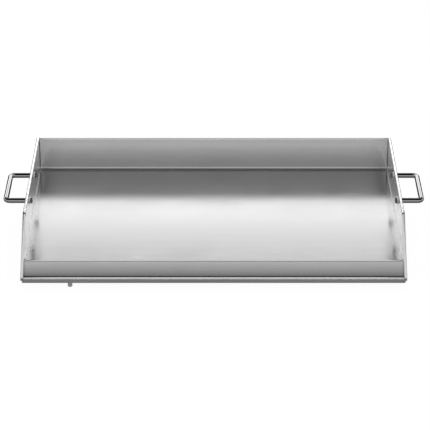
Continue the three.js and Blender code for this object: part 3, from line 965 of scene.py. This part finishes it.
def pipe_piece():
    """The drain pipe: a short tube with a rounded end."""
    middle = (PIPE_LOW + PIPE_HIGH) / 2
    outer = (PIPE_HIGH.x - PIPE_LOW.x) / 2
    bore = PIPE_BORE / 2
    wall = outer - bore
    length = PIPE_HIGH.z - PIPE_LOW.z
    profile = []
    for i in range(PIPE_END_STEPS + 1):
        angle = math.pi * i / PIPE_END_STEPS
        along = wall / 2 * (1 - math.sin(angle)) * PIPE_END_ROUND
        profile.append((along, bore + wall / 2 * (1 - math.cos(angle))))
    profile.append((length - PIPE_EDGE, outer))
    profile.append((length, outer - PIPE_EDGE))
    profile.append((length, bore + PIPE_EDGE))
    profile.append((length - PIPE_EDGE, bore))
    shape = bmesh.new()
    origin = Vector((middle.x, middle.y, PIPE_LOW.z))
    turned(shape, origin, Z, profile)
    new_piece("drain_pipe_tube", outwards(shape), PIPE_STEEL, ["drain_pipe"])


# ---- Welds -------------------------------------------------------------------------------

RIPPLE_PITCH = 2.0 * MM
RIPPLE_STEP = RIPPLE_PITCH / 4
RIPPLE_DEPTH = 0.14
BEAD_SIDES = 6
END_TAPER = 0.4
WELD_SINK = 0.1 * MM


def ripple_size(step, depth):
    """How large a bead is at a step along it, as a share of its full size."""
    return 1.0 - depth * (0.5 - 0.5 * math.cos(math.pi * step / 2))


def bead(shape, points, side_a, side_b, leg, ripple=RIPPLE_DEPTH, bulge=0.12):
    """Adds a fillet weld along a line of points. It fills the corner between two
    directions."""
    count = len(points)
    rings = []
    for i, point in enumerate(points):
        run = (points[min(i + 1, count - 1)] - points[max(i - 1, 0)]).normalized()
        wave = ripple_size(i, ripple)
        taper = END_TAPER if i in (0, count - 1) else 1.0
        size = leg * wave * taper
        ring = [point - (side_a + side_b) * WELD_SINK]
        for k in range(BEAD_SIDES + 1):
            share = k / BEAD_SIDES
            turn = share * math.pi / 2
            flat = side_a * (1 - share) + side_b * share
            round_out = side_a * math.cos(turn) + side_b * math.sin(turn)
            lag = -run * ripple * leg * 2.0 * math.sin(math.pi * share)
            swell = 0.5 + 2 * bulge
            ring.append(point + (flat * (1 - swell) + round_out * swell) * size + lag)
        rings.append(ring)
    skin(shape, rings)


def between(start, end, step):
    """Evenly spaced points from start to end."""
    count = max(2, round((end - start).length / step))
    return [start.lerp(end, i / count) for i in range(count + 1)]


def stitches(shape, start, end, side_a, side_b, leg, number, length):
    """Adds a row of short rippled welds, evenly spaced from start to end."""
    run = (end - start).normalized()
    gap = (end - start).length / number
    for i in range(number):
        middle = start + run * gap * (i + 0.5)
        points = between(middle - run * length / 2, middle + run * length / 2, RIPPLE_STEP)
        bead(shape, points, side_a, side_b, leg)


FOOT_SEAM_UP = 1.6 * MM
FOOT_SEAM_LEG = 1.5 * MM
FOOT_SEAM_FLAT = 0.35
TRAY_BEAD = 1.6 * MM
CORNER_SEAM = 1.3 * MM
STITCH_LEG = 2.4 * MM


def smooth_bead(shape, low, high, step, side_a, side_b, leg, bulge):
    """Adds a ground or flowed weld, which has no ripples."""
    bead(shape, between(low, high, step), side_a, side_b, leg, ripple=0.0, bulge=bulge)


def wall_seams():
    """The seams along the back wall's foot and up its two ends, coloured near-black as painted
    shade of the joints.
    """
    reach = BACK_HIGH.x - 0.4 * MM
    foot = Vector((0.0, BACK_LOW.y - 0.05 * MM, PLATE_TOP + FOOT_SEAM_UP))
    ends = foot - X * reach, foot + X * reach
    shape = bmesh.new()
    smooth_bead(shape, *ends, 15 * MM, -Y * FOOT_SEAM_FLAT, Z, FOOT_SEAM_LEG, 0.2)
    new_piece("back_foot_seam", outwards(shape), SEAM_PAINTED_SHADE)
    wall_y = BACK_HIGH.y - BACK_HEM
    for side, sign in SIDES:
        low = Vector((sign * SIDE_LOW.x, wall_y, BACK_LOW.z + SHEET + FOOT_BEND))
        high = Vector((sign * SIDE_LOW.x, wall_y, BACK_HIGH.z - BACK_HEM / 2))
        shape = bmesh.new()
        smooth_bead(shape, low, high, 6 * MM, -X * sign, -Y, CORNER_SEAM, 0.1)
        new_piece(f"{side}_corner_seam", outwards(shape), SEAM_PAINTED_SHADE)


def tray_welds():
    """Ground beads inside the tray, along the foot of each side wall."""
    for side, sign in SIDES:
        shape = bmesh.new()
        corner_x = sign * SIDE_LOW.x
        inwards = -X * sign
        rear = Vector((corner_x, BACK_LOW.y - 1 * MM, PLATE_TOP))
        front = Vector((corner_x, DROP_EDGE_Y + 9 * MM, PLATE_TOP))
        smooth_bead(shape, rear, front, 30 * MM, inwards, Z, TRAY_BEAD, -0.35)
        rear = Vector((corner_x, lap_corner().x - 4 * MM, TROUGH_FLOOR))
        front = Vector((corner_x, TROUGH_LOW.y + SHEET + 2 * MM, TROUGH_FLOOR))
        smooth_bead(shape, rear, front, 4 * MM, inwards, Z, TRAY_BEAD, -0.2)
        new_piece(f"{side}_tray_weld", outwards(shape), GROUND_WELD, grain_axis=1)


PLUG_RADIUS = 2.3 * MM
PLUG_DEPTH = 5.2 * MM
PLUG_DISH = 1 * MM
PLUG_CORE = 0.35
PLUG_STEPS = 6
PLUG_SEGMENTS = 24


def relief_plugs():
    """A small weld in the relief at the break of each side wall, coloured near-black as painted
    shade of the gap there. The face inside the tray is dished, with a point in its middle."""
    slope = math.atan2(SIDE_HIGH.z - LIP_TOP, BREAK_Y - SIDE_LOW.y)
    mitre = Vector((0.0, math.sin(slope / 2), -math.cos(slope / 2)))
    length = SIDE_HIGH.x - SIDE_LOW.x - 0.8 * MM
    profile = [(0.0, TIP_RADIUS)]
    for i in range(PLUG_STEPS + 1):
        angle = math.pi / 2 * i / PLUG_STEPS
        share = PLUG_CORE + (1 - PLUG_CORE) * (1 - math.cos(angle))
        profile.append((PLUG_DISH * (1 - math.sin(angle)), PLUG_RADIUS * share))
    profile.append((length - 1 * MM, PLUG_RADIUS))
    profile.append((length, PLUG_RADIUS * 0.5))
    profile.append((length, TIP_RADIUS))
    for side, sign in SIDES:
        break_point = Vector((sign * (SIDE_LOW.x + 0.2 * MM), BREAK_Y, SIDE_HIGH.z))
        shape = bmesh.new()
        turned(shape, break_point + mitre * PLUG_DEPTH, X * sign, profile, PLUG_SEGMENTS)
        new_piece(f"{side}_relief_weld", outwards(shape), SEAM_PAINTED_SHADE)


def outside_welds():
    """Rippled beads behind the back wall's ends, and along the under edges of the walls."""
    for side, sign in SIDES:
        shape = bmesh.new()
        corner_x = sign * SIDE_LOW.x
        wall_back = BACK_HIGH.y - BACK_HEM + SHEET
        low = Vector((corner_x, wall_back, BACK_LOW.z + FOOT_BEND + 4 * MM))
        high = Vector((corner_x, wall_back, BACK_HIGH.z - BACK_HEM_LEG - 6 * MM))
        bead(shape, between(low, high, RIPPLE_STEP), -X * sign, Y, STITCH_LEG)
        under = PLATE_UNDER + 0.1 * MM
        rear = Vector((corner_x, PLATE_HIGH.y - 12 * MM, under))
        front = Vector((corner_x, DROP_EDGE_Y + 20 * MM, under))
        stitches(shape, rear, front, -X * sign, -Z * 0.35, STITCH_LEG * 1.1, 5, 34 * MM)
        new_piece(f"{side}_wall_weld", outwards(shape), WELD_STEEL, grain_axis=1)


PIPE_WELD_STEPS = 68
PIPE_WELD_LEG = 2.2 * MM


def trough_welds():
    """Stitches where the trough laps the plate's drop, and a ring round the drain pipe."""
    down = drop_direction()
    behind = left_of(down)
    lap_top = lap_corner() - down * TROUGH_LAP
    seam = lap_top - behind * (SHEET / 2 + SEAM)
    start = Vector((TROUGH_LOW.x + 8 * MM, seam.x, seam.y))
    end = Vector((TROUGH_HIGH.x - 8 * MM, seam.x, seam.y))
    up = Vector((0.0, -down.x, -down.y))
    rear = Vector((0.0, behind.x, behind.y))
    shape = bmesh.new()
    stitches(shape, start, end, up, rear, STITCH_LEG, 8, 32 * MM)
    new_piece("trough_lap_weld", outwards(shape), WELD_STEEL)

    middle = (PIPE_LOW + PIPE_HIGH) / 2
    radius = (PIPE_HIGH.x - PIPE_LOW.x) / 2
    rings = []
    for i in range(PIPE_WELD_STEPS):
        angle = 2 * math.pi * i / PIPE_WELD_STEPS
        spoke = X * math.cos(angle) + Y * math.sin(angle)
        corner = Vector((middle.x, middle.y, TROUGH_LOW.z)) + spoke * radius
        size = PIPE_WELD_LEG * ripple_size(i, RIPPLE_DEPTH)
        ring = [corner + (Z - spoke) * WELD_SINK]
        for k in range(BEAD_SIDES + 1):
            turn = math.pi / 2 * k / BEAD_SIDES
            ring.append(corner + spoke * math.cos(turn) * size - Z * math.sin(turn) * size)
        rings.append(ring)
    shape = bmesh.new()
    skin(shape, rings, looped=True)
    new_piece("drain_pipe_weld", outwards(shape), WELD_STEEL)


def under_welds():
    """Stitches that hold the stiffeners and the rails up to the plate."""
    for place in ("rear", "middle", "front"):
        low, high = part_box(f"stiffener_{place}")
        shape = bmesh.new()
        for edge_y, out in ((low.y, -Y), (high.y, Y)):
            start = Vector((low.x + 10 * MM, edge_y, PLATE_UNDER))
            end = Vector((high.x - 10 * MM, edge_y, PLATE_UNDER))
            stitches(shape, start, end, out, -Z, STITCH_LEG * 0.75, 5, 28 * MM)
        new_piece(f"stiffener_{place}_weld", outwards(shape), WELD_STEEL)
    for side, sign in SIDES:
        shape = bmesh.new()
        for edge_x, out in ((RAIL_HIGH.x, X * sign), (RAIL_LOW.x, -X * sign)):
            start = Vector((sign * edge_x, RAIL_LOW.y + 8 * MM, PLATE_UNDER))
            end = Vector((sign * edge_x, RAIL_HIGH.y - 8 * MM, PLATE_UNDER))
            number = 6 if edge_x == RAIL_HIGH.x else 4
            stitches(shape, start, end, out, -Z, STITCH_LEG * 0.85, number, 26 * MM)
        new_piece(f"{side}_rail_weld", outwards(shape), WELD_STEEL, grain_axis=1)


# ---- The scene ---------------------------------------------------------------------------

back_wall_piece()
trough_piece()
other_sheet_pieces()
for side, sign in SIDES:
    handle_piece(side, sign)
    for place in ("rear", "front"):
        bolt_piece(side, place, sign)
        washer_piece(side, place, sign)
pipe_piece()
wall_seams()
tray_welds()
relief_plugs()
outside_welds()
trough_welds()
under_welds()

make_camera()
make_world()
make_back_card()
make_flags()
make_floor()
bpy.context.scene.view_settings.view_transform = "Standard"
